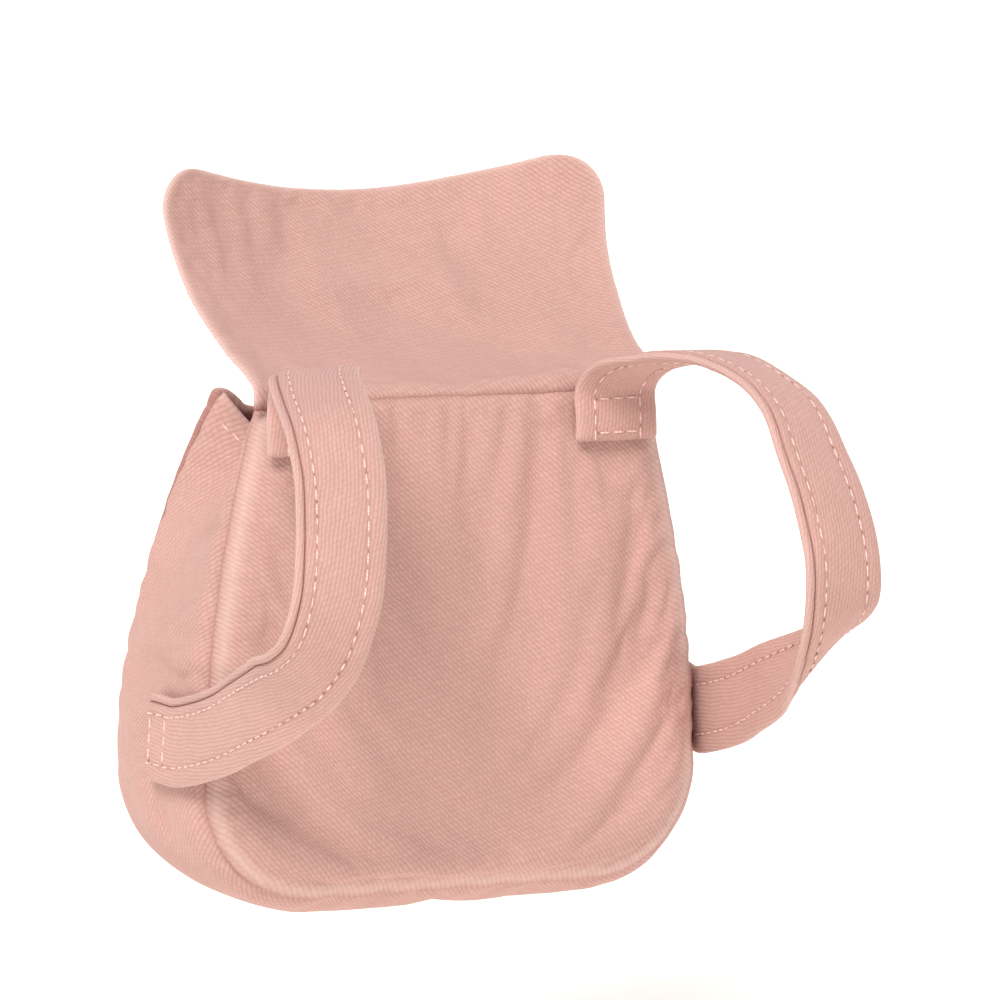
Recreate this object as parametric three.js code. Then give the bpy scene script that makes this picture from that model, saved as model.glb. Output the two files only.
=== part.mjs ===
// Toy backpack in the form it has when worn. Millimetres, +Z up.
// The origin is the top middle of the face that lies on the wearer's back.
// +Y points away from the wearer, so the straps reach towards -Y. +X is the wearer's left.
import * as THREE from 'three';
import { mergeVertices } from 'three/addons/utils/BufferGeometryUtils.js';

// Cloth and clearances
const cloth = 1.2; // one sewn panel, turned and pressed
const seamGap = 0.3; // clearance between pieces that are sewn together
const seamRoll = 2.2; // how far a panel rolls over before its seam

// Bag
const mouthWidth = 53; // between the side seams at the mouth
const baseWidth = 68; // between the side seams above the base
const bagHeight = 65; // mouth to base seam
const cornerRadius = 14; // base corners
const mouthDepth = 17.5; // back seam to front seam at the mouth
const baseDepth = 32; // the same at its deepest
const frontBelly = 9; // how far the front panel bows out between its seams
const mouthSag = 6; // how far the front panel's top edge droops
const sideTuck = 9; // how far the gusset folds in at the mouth
const sideDip = 5; // how far the gusset's top edge drops in its fold
const sideBelly = 1.5; // how far the gusset bows out lower down
const dentDepth = 1.4; // depth of the dents in the front panel

// Flap, unfastened and standing
const flapWidth = 56; // at its root
const flapFlare = 4.5; // how far each free corner spreads beyond the root
const flapReach = 24.5; // how far the free corners lean back
const flapRise = 30.5; // height of the free corners above the mouth
const flapCorner = 8; // radius of the free corners

// Straps
const strapWidth = 11.8;
const strapThickness = 1.8; // twill folded double
const rootSpacing = 44; // between the strap centres at the bag's top
const chestSpacing = 71; // between the strap centres on the chest
const strapReach = 42.3; // farthest forward of the back panel
const strapRise = 5; // crown above the mouth
const strapDrop = 45; // lower end below the mouth
const rootLap = 7; // upper end sewn flat down the back panel
const sideLap = 6; // lower end sewn flat along the gusset

// Touch fastening of the flap
const patchWidth = 17;
const patchHeight = 9;
const patchCorner = 2.5;
const patchThickness = 1; // pile and backing
const hookDrop = 19; // centre of the hook patch below the mouth
const loopInset = 11; // centre of the loop patch from the flap's free edge

const rollWidth = 2 * seamRoll; // so a panel meets its seam at 45 degrees
const mouthHalf = mouthWidth / 2;
const baseHalf = baseWidth / 2;
const sideHeight = bagHeight - cornerRadius;
const backSeam = cloth / 2 + seamRoll; // depth of the back seam

// Sections of the bag from the mouth down. Down is a share of bagHeight, depth runs from
// mouthDepth at 0 to baseDepth at 1, and the rest are shares of the sizes they are named for.
const bodyRows = [
  { down: 0.0, depth: 0.0, belly: 0.95, tuck: 1.0, side: 0.0 },
  { down: 0.06, depth: 0.16, belly: 0.92, tuck: 0.92, side: 0.0 },
  { down: 0.15, depth: 0.36, belly: 0.82, tuck: 0.66, side: 0.05 },
  { down: 0.3, depth: 0.62, belly: 0.68, tuck: 0.28, side: 0.3 },
  { down: 0.5, depth: 0.86, belly: 0.62, tuck: 0.04, side: 0.8 },
  { down: 0.72, depth: 1.0, belly: 0.7, tuck: 0.0, side: 1.0 },
  { down: 0.88, depth: 0.96, belly: 0.6, tuck: 0.0, side: 0.8 },
  { down: 1.0, depth: 0.84, belly: 0.35, tuck: 0.0, side: 0.3 },
];

// Soft dents of the front panel: centre and size as shares of half the width and the height.
const dentRows = [
  { across: -0.55, down: 0.3, wide: 0.28, tall: 0.2, depth: 1.0 },
  { across: 0.6, down: 0.42, wide: 0.25, tall: 0.26, depth: 0.8 },
  { across: 0.05, down: 0.62, wide: 0.5, tall: 0.1, depth: 0.7 },
];

// Profiles of the flap from its root. Side is the outer edge and mid the centre line, each as
// shares of flapReach and flapRise; flare is a share of flapFlare.
const flapRows = [
  { along: 0.0, sideBack: 0.0, sideUp: 0.0, midBack: 0.0, midUp: 0.0, flare: 0.22 },
  { along: 0.05, sideBack: 0.015, sideUp: 0.055, midBack: 0.02, midUp: 0.05, flare: 0.22 },
  { along: 0.12, sideBack: 0.13, sideUp: 0.105, midBack: 0.15, midUp: 0.09, flare: 0.24 },
  { along: 0.25, sideBack: 0.36, sideUp: 0.185, midBack: 0.42, midUp: 0.14, flare: 0.34 },
  { along: 0.48, sideBack: 0.68, sideUp: 0.37, midBack: 0.81, midUp: 0.28, flare: 0.58 },
  { along: 0.65, sideBack: 0.86, sideUp: 0.54, midBack: 1.06, midUp: 0.42, flare: 0.72 },
  { along: 0.84, sideBack: 0.97, sideUp: 0.77, midBack: 1.3, midUp: 0.6, flare: 0.9 },
  { along: 1.0, sideBack: 1.0, sideUp: 1.0, midBack: 1.45, midUp: 0.78, flare: 1.0 },
];

// Route of a strap from the crown to the armpit, for the wearer's left. Out runs from the root
// spacing at 0 to the chest spacing at 1, forward is a share of strapReach, rise of strapRise
// and drop of strapDrop. Sideways, backward and upward point from the inner to the outer edge.
const strapRows = [
  { out: 0.06, forward: 0.1, rise: 0.6, drop: 0.0, sideways: 1.0, backward: 0.02, upward: -0.02 },
  { out: 0.26, forward: 0.28, rise: 1.0, drop: 0.0, sideways: 1.0, backward: 0.08, upward: -0.05 },
  { out: 0.52, forward: 0.46, rise: 1.05, drop: 0.0, sideways: 1.0, backward: 0.25, upward: -0.1 },
  { out: 0.68, forward: 0.63, rise: 0.7, drop: 0.0, sideways: 1.0, backward: 0.4, upward: -0.15 },
  { out: 0.78, forward: 0.79, rise: 0.0, drop: 0.0, sideways: 1.0, backward: 0.36, upward: -0.1 },
  { out: 0.84, forward: 0.9, rise: 0.0, drop: 0.13, sideways: 1.0, backward: 0.26, upward: -0.04 },
  { out: 0.92, forward: 0.97, rise: 0.0, drop: 0.27, sideways: 1.0, backward: 0.2, upward: 0.0 },
  { out: 1.0, forward: 1.0, rise: 0.0, drop: 0.43, sideways: 1.0, backward: 0.18, upward: 0.06 },
  { out: 1.06, forward: 0.95, rise: 0.0, drop: 0.57, sideways: 0.97, backward: 0.12, upward: 0.22 },
  { out: 1.1, forward: 0.82, rise: 0.0, drop: 0.68, sideways: 0.8, backward: 0.1, upward: 0.55 },
  { out: 1.13, forward: 0.61, rise: 0.0, drop: 0.77, sideways: 0.45, backward: 0.15, upward: 0.88 },
  { out: 1.14, forward: 0.36, rise: 0.0, drop: 0.86, sideways: 0.15, backward: 0.2, upward: 0.97 },
  { out: 1.15, forward: 0.12, rise: 0.0, drop: 0.94, sideways: 0.03, backward: 0.12, upward: 1.0 },
];

// Reads one column of a table at a share between its rows, on a smooth curve through them.
function columnAt(rows, key, column, share) {
  const last = rows.length - 1;
  let low = 0;
  while (low < last - 1 && share > rows[low + 1][key]) low += 1;
  const slope = (i) => {
    const before = rows[Math.max(i - 1, 0)];
    const after = rows[Math.min(i + 1, last)];
    return (after[column] - before[column]) / (after[key] - before[key]);
  };
  const span = rows[low + 1][key] - rows[low][key];
  const t = THREE.MathUtils.clamp((share - rows[low][key]) / span, 0, 1);
  const rise = 3 * t * t - 2 * t * t * t;
  const start = t * (1 - t) * (1 - t) * span * slope(low);
  const end = t * t * (t - 1) * span * slope(low + 1);
  return rows[low][column] * (1 - rise) + rows[low + 1][column] * rise + start + end;
}

const bodyAt = (column, z) => columnAt(bodyRows, 'down', column, -z / bagHeight);
const bell = (share) => Math.sin(Math.PI * THREE.MathUtils.clamp(share, 0, 1)) ** 2;

// The seam line seen from the front, as a path in X and Z: down one side, round the base, up.
function makeSeamLine() {
  const path = new THREE.Path();
  path.moveTo(mouthHalf, 0);
  path.quadraticCurveTo(baseHalf, -sideHeight / 2, baseHalf, -sideHeight);
  path.absarc(baseHalf - cornerRadius, -sideHeight, cornerRadius, 0, -Math.PI / 2, true);
  path.lineTo(cornerRadius - baseHalf, -bagHeight);
  path.absarc(cornerRadius - baseHalf, -sideHeight, cornerRadius, -Math.PI / 2, -Math.PI, true);
  path.quadraticCurveTo(-baseHalf, -sideHeight / 2, -mouthHalf, 0);
  return path;
}

const seamLine = makeSeamLine();
const seamLength = seamLine.getLength();
const outwardAt = (share) => {
  const along = seamLine.getTangent(share);
  return new THREE.Vector2(-along.y, along.x);
};
const seamStations = Array.from({ length: 361 }, (_, i) => {
  const share = i / 360;
  return { share, at: seamLine.getPoint(share), outward: outwardAt(share) };
});

// Half the width between the seams at a height.
function seamHalf(z) {
  if (z >= -sideHeight) {
    const rest = 1 + z / sideHeight;
    return baseHalf - (baseHalf - mouthHalf) * rest * rest;
  }
  const below = Math.min(-sideHeight - z, cornerRadius);
  return baseHalf - cornerRadius + Math.sqrt(cornerRadius ** 2 - below ** 2);
}

// How far a point of a panel lies inside the seam line.
function insideSeam(x, z) {
  let nearest = seamStations[0];
  let least = Infinity;
  for (const station of seamStations) {
    const away = (station.at.x - x) ** 2 + (station.at.y - z) ** 2;
    if (away < least) {
      least = away;
      nearest = station;
    }
  }
  return (nearest.at.x - x) * nearest.outward.x + (nearest.at.y - z) * nearest.outward.y;
}

// 1 at the seam, falling to 0 where the roll ends.
const rollAt = (inside) => Math.max(1 - inside / rollWidth, 0) ** 2;

const backSurface = (x, z) => {
  const y = cloth / 2 + seamRoll * rollAt(insideSeam(x, z));
  return new THREE.Vector3(x, y, z);
};

const frontSeam = (z) => mouthDepth + (baseDepth - mouthDepth) * bodyAt('depth', z);

function dentAt(x, z) {
  let depth = 0;
  for (const dent of dentRows) {
    const across = (x / baseHalf - dent.across) / dent.wide;
    const down = (-z / bagHeight - dent.down) / dent.tall;
    depth += dent.depth * Math.exp(-across * across - down * down);
  }
  return dentDepth * depth;
}

const frontSurface = (x, z) => {
  const across = Math.min(Math.abs(x) / seamHalf(z), 1);
  const bow = frontBelly * bodyAt('belly', z) * (1 - across * across) ** 1.5;
  const roll = seamRoll * (1 - rollAt(insideSeam(x, z)));
  const dent = dentAt(x, z) * (1 - across * across);
  return new THREE.Vector3(x, frontSeam(z) + roll + bow - dent, z);
};

// The gusset, by its share along the seam line and its share from the back to the front seam.
const gussetSurface = (alongSeam, across) => {
  const at = seamLine.getPoint(THREE.MathUtils.clamp(alongSeam, 0, 1));
  const outward = outwardAt(THREE.MathUtils.clamp(alongSeam, 0, 1));
  const edge = seamGap * Math.SQRT1_2;
  const back = backSeam + edge;
  const front = frontSeam(at.y) - edge;
  const y = THREE.MathUtils.lerp(back, front, across);
  const roll = seamRoll * (1 - rollAt(Math.min(y - back, front - y)));
  const bow = sideBelly * bodyAt('side', at.y) - sideTuck * bodyAt('tuck', at.y);
  const out = edge + roll + bow * bell(across);
  return new THREE.Vector3(at.x + outward.x * out, y, at.y + outward.y * out);
};

// Length of the flap's side edge, root to free corner.
const flapLength = flapRows.slice(1).reduce((sum, row, i) => {
  const back = flapReach * (row.sideBack - flapRows[i].sideBack);
  const up = flapRise * (row.sideUp - flapRows[i].sideUp);
  return sum + Math.hypot(back, up);
}, 0);

const flapHalf = (along) => flapWidth / 2 + flapFlare * columnAt(flapRows, 'along', 'flare', along);

// The flap, by its distance across and its share from the root to the free edge.
const flapSurface = (x, along) => {
  const half = flapHalf(along);
  const edge = Math.abs(x / half) ** 1.7;
  const read = (column) => columnAt(flapRows, 'along', column, along);
  const back = THREE.MathUtils.lerp(read('midBack'), read('sideBack'), edge);
  const up = THREE.MathUtils.lerp(read('midUp'), read('sideUp'), edge);
  return new THREE.Vector3(x, cloth / 2 + flapReach * back, seamGap + flapRise * up);
};

// Centre line and edge direction of the strap on the wearer's left.
function strapRoute() {
  const rootHalf = rootSpacing / 2;
  const spread = (chestSpacing - rootSpacing) / 2;
  const stand = cloth / 2 + seamGap + strapThickness / 2;
  const centres = [
    new THREE.Vector3(rootHalf, cloth / 2 - stand, -rootLap),
    new THREE.Vector3(rootHalf, cloth / 2 - stand, -rootLap / 2),
    new THREE.Vector3(rootHalf, cloth / 2 - stand, 0),
  ];
  const edges = centres.map(() => new THREE.Vector3(1, 0, 0));
  for (const row of strapRows) {
    const x = rootHalf + spread * row.out;
    const z = strapRise * row.rise - strapDrop * row.drop;
    centres.push(new THREE.Vector3(x, -strapReach * row.forward, z));
    edges.push(new THREE.Vector3(row.sideways, row.backward, row.upward));
  }
  const station = seamStations.find((item) => item.at.y <= -strapDrop);
  const width = frontSeam(station.at.y) - backSeam;
  for (const past of [rollWidth, rollWidth + sideLap / 2, rollWidth + sideLap]) {
    const seat = gussetSurface(station.share, past / width);
    const out = new THREE.Vector3(station.outward.x, 0, station.outward.y);
    centres.push(seat.addScaledVector(out, stand));
    edges.push(new THREE.Vector3(-station.outward.y, 0, station.outward.x));
  }
  return {
    centre: new THREE.CatmullRomCurve3(centres, false, 'centripetal'),
    edge: new THREE.CatmullRomCurve3(edges, false, 'catmullrom'),
  };
}

const route = strapRoute();

// A strap, by its distance from the centre line and its share from root to lower end.
const strapSurface = (across, along) => {
  const share = THREE.MathUtils.clamp(along, 0, 1);
  const t = route.centre.getUtoTmapping(share);
  const centre = route.centre.getPoint(t);
  const forward = route.centre.getTangent(t);
  const edge = route.edge.getPoint(t);
  edge.addScaledVector(forward, -edge.dot(forward)).normalize();
  return centre.addScaledVector(edge, across);
};

// The two straps mirror each other.
const mirrored = (surface) => (a, b) => surface(a, b).multiply(new THREE.Vector3(-1, 1, 1));

// Direction square to a surface at a point, from its slopes in its two measures.
function squareTo(surface, a, b, step) {
  const alongA = surface(a + step.a, b).sub(surface(a - step.a, b));
  const alongB = surface(a, b + step.b).sub(surface(a, b - step.b));
  return alongA.cross(alongB).normalize();
}

// Turns each face round when a bent box has come out inside out.
function faceOutwards(geometry) {
  const place = geometry.attributes.position;
  const index = geometry.index;
  const corner = [0, 1, 2].map(() => new THREE.Vector3());
  let volume = 0;
  for (let i = 0; i < index.count; i += 3) {
    corner.forEach((point, k) => point.fromBufferAttribute(place, index.getX(i + k)));
    volume += corner[0].dot(corner[1].cross(corner[2]));
  }
  if (volume > 0) return;
  for (let i = 0; i < index.count; i += 3) {
    const first = index.getX(i);
    index.setX(i, index.getX(i + 1));
    index.setX(i + 1, first);
  }
}

// A sheet of cloth: a thin box bent so that its middle lies on the surface.
// Domain turns the box's two shares into the surface's own measures.
function bentSheet(name, material, { surface, domain, step, thickness, columns, rows, lift = 0 }) {
  const box = new THREE.BoxGeometry(1, 1, 1, columns, rows, 1);
  box.deleteAttribute('normal');
  box.deleteAttribute('uv');
  const geometry = mergeVertices(box);
  const place = geometry.attributes.position;
  for (let i = 0; i < place.count; i += 1) {
    const [a, b] = domain(place.getX(i) + 0.5, place.getY(i) + 0.5);
    const height = lift + place.getZ(i) * thickness;
    const at = surface(a, b).addScaledVector(squareTo(surface, a, b, step), height);
    place.setXYZ(i, at.x, at.y, at.z);
  }
  faceOutwards(geometry);
  geometry.computeVertexNormals();
  const mesh = new THREE.Mesh(geometry, material);
  mesh.name = name;
  return mesh;
}

// Half the width of a strip with round corners, at a distance from the end that has them.
function roundedHalf(half, corner, fromEnd) {
  const into = Math.max(corner - fromEnd, 0);
  return half - corner + Math.sqrt(Math.max(corner ** 2 - into ** 2, 0));
}

const crowdLate = (share) => Math.sin((share * Math.PI) / 2);
const crowdEnds = (share) => (1 - Math.cos(share * Math.PI)) / 2;

const twill = (color) => new THREE.MeshStandardMaterial({ color, roughness: 0.85, metalness: 0 });

function backPanel() {
  return bentSheet('back_panel', twill(0xdca89a), {
    surface: backSurface,
    domain: (across, down) => {
      const z = -bagHeight * crowdLate(down);
      return [(2 * crowdEnds(across) - 1) * seamHalf(z), z];
    },
    step: { a: 0.2, b: 0.2 },
    thickness: cloth,
    columns: 18,
    rows: 18,
  });
}

function frontPanel() {
  return bentSheet('front_panel', twill(0xe3afa1), {
    surface: frontSurface,
    domain: (across, down) => {
      const side = 2 * crowdEnds(across) - 1;
      const top = -mouthSag * bell((side + 1) / 2);
      const z = THREE.MathUtils.lerp(top, -bagHeight, crowdLate(down));
      return [side * seamHalf(z), z];
    },
    step: { a: 0.2, b: 0.2 },
    thickness: cloth,
    columns: 24,
    rows: 20,
  });
}

function gusset() {
  return bentSheet('gusset', twill(0xe0bbab), {
    surface: gussetSurface,
    domain: (along, across) => {
      const dip = (sideDip / seamLength) * bell(across);
      return [THREE.MathUtils.lerp(dip, 1 - dip, along), across];
    },
    step: { a: 0.001, b: 0.01 },
    thickness: cloth,
    columns: 56,
    rows: 10,
  });
}

function flap() {
  return bentSheet('flap', twill(0xd29989), {
    surface: flapSurface,
    domain: (across, out) => {
      const along = crowdLate(out);
      const half = roundedHalf(flapHalf(along), flapCorner, (1 - along) * flapLength);
      return [(2 * across - 1) * half, along];
    },
    step: { a: 0.2, b: 0.005 },
    thickness: cloth,
    columns: 20,
    rows: 18,
  });
}

function strap(name, surface) {
  return bentSheet(name, twill(0xeabab0), {
    surface,
    domain: (across, along) => [(across - 0.5) * strapWidth, along],
    step: { a: 0.2, b: 0.002 },
    thickness: strapThickness,
    columns: 4,
    rows: 60,
  });
}

const patchStand = cloth / 2 + seamGap + patchThickness / 2;
const patchSteps = { thickness: patchThickness, columns: 5, rows: 6 };

const patchHalf = (share) => {
  const fromEnd = Math.min(share, 1 - share) * patchHeight;
  return roundedHalf(patchWidth / 2, patchCorner, fromEnd);
};

function hookPatch() {
  return bentSheet('hook_patch', twill(0xd8a79b), {
    surface: frontSurface,
    domain: (across, down) => {
      const share = crowdEnds(down);
      const z = -hookDrop + (0.5 - share) * patchHeight;
      return [(2 * across - 1) * patchHalf(share), z];
    },
    step: { a: 0.2, b: 0.2 },
    lift: -patchStand,
    ...patchSteps,
  });
}

function loopPatch() {
  return bentSheet('loop_patch', twill(0xd8a79b), {
    surface: flapSurface,
    domain: (across, down) => {
      const share = crowdEnds(down);
      const along = 1 - (loopInset + (0.5 - share) * patchHeight) / flapLength;
      return [(2 * across - 1) * patchHalf(share), along];
    },
    step: { a: 0.2, b: 0.005 },
    lift: -patchStand,
    ...patchSteps,
  });
}

const backpack = new THREE.Group();
backpack.add(
  backPanel(),
  gusset(),
  frontPanel(),
  flap(),
  strap('strap_left', strapSurface),
  strap('strap_right', mirrored(strapSurface)),
  hookPatch(),
  loopPatch(),
);

export default backpack;
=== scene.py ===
# %% [markdown]
# # A small twill backpack, in the form it has when worn
# The real thing is a bag as wide as a hand's four fingers, cut from one dusty-pink cotton twill,
# sewn inside out and turned. Its panels are sheets of cloth, so each one here is a flat grid
# bent onto the panel's surface, given folds, and then given the cloth's thickness.

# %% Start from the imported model
import bisect
import math

import bmesh
import bpy
from mathutils import Matrix, Vector, bvhtree, kdtree, noise


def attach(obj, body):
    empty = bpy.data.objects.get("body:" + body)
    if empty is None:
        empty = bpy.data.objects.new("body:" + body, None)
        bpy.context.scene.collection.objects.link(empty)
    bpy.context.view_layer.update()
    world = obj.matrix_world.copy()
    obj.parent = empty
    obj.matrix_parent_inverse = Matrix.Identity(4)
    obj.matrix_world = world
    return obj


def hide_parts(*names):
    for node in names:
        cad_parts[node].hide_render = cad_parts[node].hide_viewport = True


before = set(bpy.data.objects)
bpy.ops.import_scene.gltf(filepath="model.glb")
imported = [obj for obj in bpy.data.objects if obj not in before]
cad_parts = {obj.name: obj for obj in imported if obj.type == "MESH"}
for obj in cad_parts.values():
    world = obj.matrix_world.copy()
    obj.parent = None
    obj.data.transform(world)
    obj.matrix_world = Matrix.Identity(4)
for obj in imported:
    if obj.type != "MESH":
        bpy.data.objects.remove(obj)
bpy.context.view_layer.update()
print("packed nodes:", ", ".join(sorted(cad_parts)))

# %% [markdown]
# ## Sizes
# A maker writes a pattern down in millimetres, so this script does too, and turns each point
# into Blender's metres once, where a mesh is finished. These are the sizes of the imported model.

# %% Named sizes, in millimetres
mm = 0.001

cloth = 1.2  # a sewn panel, turned and pressed
seam_roll = 2.2  # how far a panel rolls over before its seam
roll_width = 2 * seam_roll  # so a panel meets its seam at 45 degrees
seam_gap = 0.3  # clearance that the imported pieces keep

mouth_width = 53
base_width = 68
bag_height = 65
corner_radius = 14
mouth_depth = 17.5
base_depth = 32
front_belly = 9
mouth_sag = 6
side_tuck = 9
side_dip = 5
side_belly = 1.5
dent_depth = 1.4

flap_width = 56
flap_flare = 4.5
flap_reach = 24.5
flap_rise = 30.5
flap_corner = 8

strap_width = 11.8
strap_thickness = 1.8
root_spacing = 44
chest_spacing = 71
strap_reach = 42.3
strap_rise = 5
strap_drop = 45
root_lap = 7
side_lap = 6

patch_width = 17
patch_height = 9
patch_corner = 2.5
patch_thickness = 1
hook_drop = 19
loop_inset = 11

mouth_half = mouth_width / 2
base_half = base_width / 2
side_height = bag_height - corner_radius
back_seam = cloth / 2 + seam_roll

# %% [markdown]
# ## Camera, light and floor
# The camera stands where the photographer stood: a little to one side and just above. A long
# lens from over a metre away keeps the perspective flat. The studio is all white, so the world
# gives an even light from everywhere, and one broad soft lamp from the upper left in front
# gives the cloth its shape. A weak second one behind does that for the far side. The floor is
# a pale sweep, and only a faint shadow marks it.

# %% Camera
view_azimuth = math.radians(-24)
view_elevation = math.radians(7)
camera_distance = 1300
pixels_per_mm = 7.6  # the photograph has 3.4, and this comes closer from the same place
picture_width = 1000
origin_at = (460, 395)  # the pixel where the middle of the bag's top edge is
sensor_width = 36

towards_camera = Vector((
    math.sin(view_azimuth) * math.cos(view_elevation),
    -math.cos(view_azimuth) * math.cos(view_elevation),
    math.sin(view_elevation),
))
picture_right = Vector((0, 0, 1)).cross(towards_camera).normalized()
picture_up = towards_camera.cross(picture_right)
aim = (
    picture_right * (picture_width / 2 - origin_at[0])
    + picture_up * (origin_at[1] - picture_width / 2)
) / pixels_per_mm

scene = bpy.context.scene
camera_data = bpy.data.cameras.new("camera")
camera_data.sensor_width = sensor_width
camera_data.lens = sensor_width * camera_distance * pixels_per_mm / picture_width
camera = bpy.data.objects.new("camera", camera_data)
camera.location = (aim + towards_camera * camera_distance) * mm
camera.rotation_euler = towards_camera.to_track_quat("Z", "Y").to_euler()
scene.collection.objects.link(camera)
scene.camera = camera
scene.view_settings.view_transform = "Standard"
print("lens", round(camera_data.lens, 1), "mm")

# %% World and lamps
world = bpy.data.worlds.new("white studio")
world.use_nodes = True
world.node_tree.nodes["Background"].inputs["Color"].default_value = (1, 1, 1, 1)
world.node_tree.nodes["Background"].inputs["Strength"].default_value = 0.62
scene.world = world


def soft_lamp(name, strength, spread, from_way):
    """A broad lamp far away, in the direction given."""
    data = bpy.data.lights.new(name, "SUN")
    data.energy = strength
    data.angle = math.radians(spread)
    data.color = (1.0, 0.985, 0.96)
    lamp = bpy.data.objects.new(name, data)
    lamp.rotation_euler = Vector(from_way).to_track_quat("Z", "Y").to_euler()
    scene.collection.objects.link(lamp)


soft_lamp("main lamp", 2.85, 25, (-0.75, -0.8, 1.1))
soft_lamp("fill lamp behind", 0.8, 50, (1.2, 0.9, 0.7))

# %% [markdown]
# ## Materials
# Each one starts from the real stuff. Colours are picked as sRGB hex values, the way a screen
# shows them, and one function turns them into the linear numbers that the shader needs. A
# second small function adds a node, sets it and links it, so a material reads as a recipe.


# %% Helpers for materials
def linear(hex_colour):
    """Turns an sRGB hex colour into linear red, green, blue and alpha."""
    shares = [int(hex_colour[i : i + 2], 16) / 255 for i in (1, 3, 5)]
    return [s / 12.92 if s <= 0.04045 else ((s + 0.055) / 1.055) ** 2.4 for s in shares] + [1]


def add_node(tree, kind, inputs=None, **settings):
    """Adds a node, sets its own properties, and sets or links its inputs."""
    node = tree.nodes.new(kind)
    for name, value in settings.items():
        setattr(node, name, value)
    for name, value in (inputs or {}).items():
        if isinstance(value, bpy.types.NodeSocket):
            tree.links.new(value, node.inputs[name])
        else:
            node.inputs[name].default_value = value
    return node


def new_material(name):
    """A material with an empty tree but for its shader and output."""
    material = bpy.data.materials.new(name)
    material.use_nodes = True
    tree = material.node_tree
    return material, tree, tree.nodes["Principled BSDF"]


# %% [markdown]
# ## Cotton twill
# Twill is woven so that each thread passes over two and under one, a step along in every row.
# That gives fine diagonal ribs. Here a pattern coordinate runs across the ribs in units of one
# rib, a little noise makes the ribs waver, and a second wave breaks each rib into its floats,
# each with a tone of its own. The eye gets a matt, slightly fuzzy and flecked cloth with a
# faint direction. Its colour is darker between the ribs and at the ends of the floats, which is
# painted shade, and paler on their crowns, which is painted light; the float and fleck noise
# add random tone on top.
# Two attributes of a piece add more: one pales an edge, as wear does, and the other darkens seam
# grooves, the flap's root, a strap's slit and its stitch rows, which is painted shade.

# %% Twill
rib_pitch = 0.52
float_length = 0.9
float_stagger = 0.37  # how far each rib's floats start after its neighbour's
waver_size = 7
waver_ribs = 2.2  # how many ribs the waver is wide
mottle_size = 16
fleck_size = 0.4
rib_weight = 0.75  # these three are shares of the relief, beside the fleck's 1
float_weight = 0.9
yarn_weight = 0.3
twill_relief = 0.09


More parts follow.
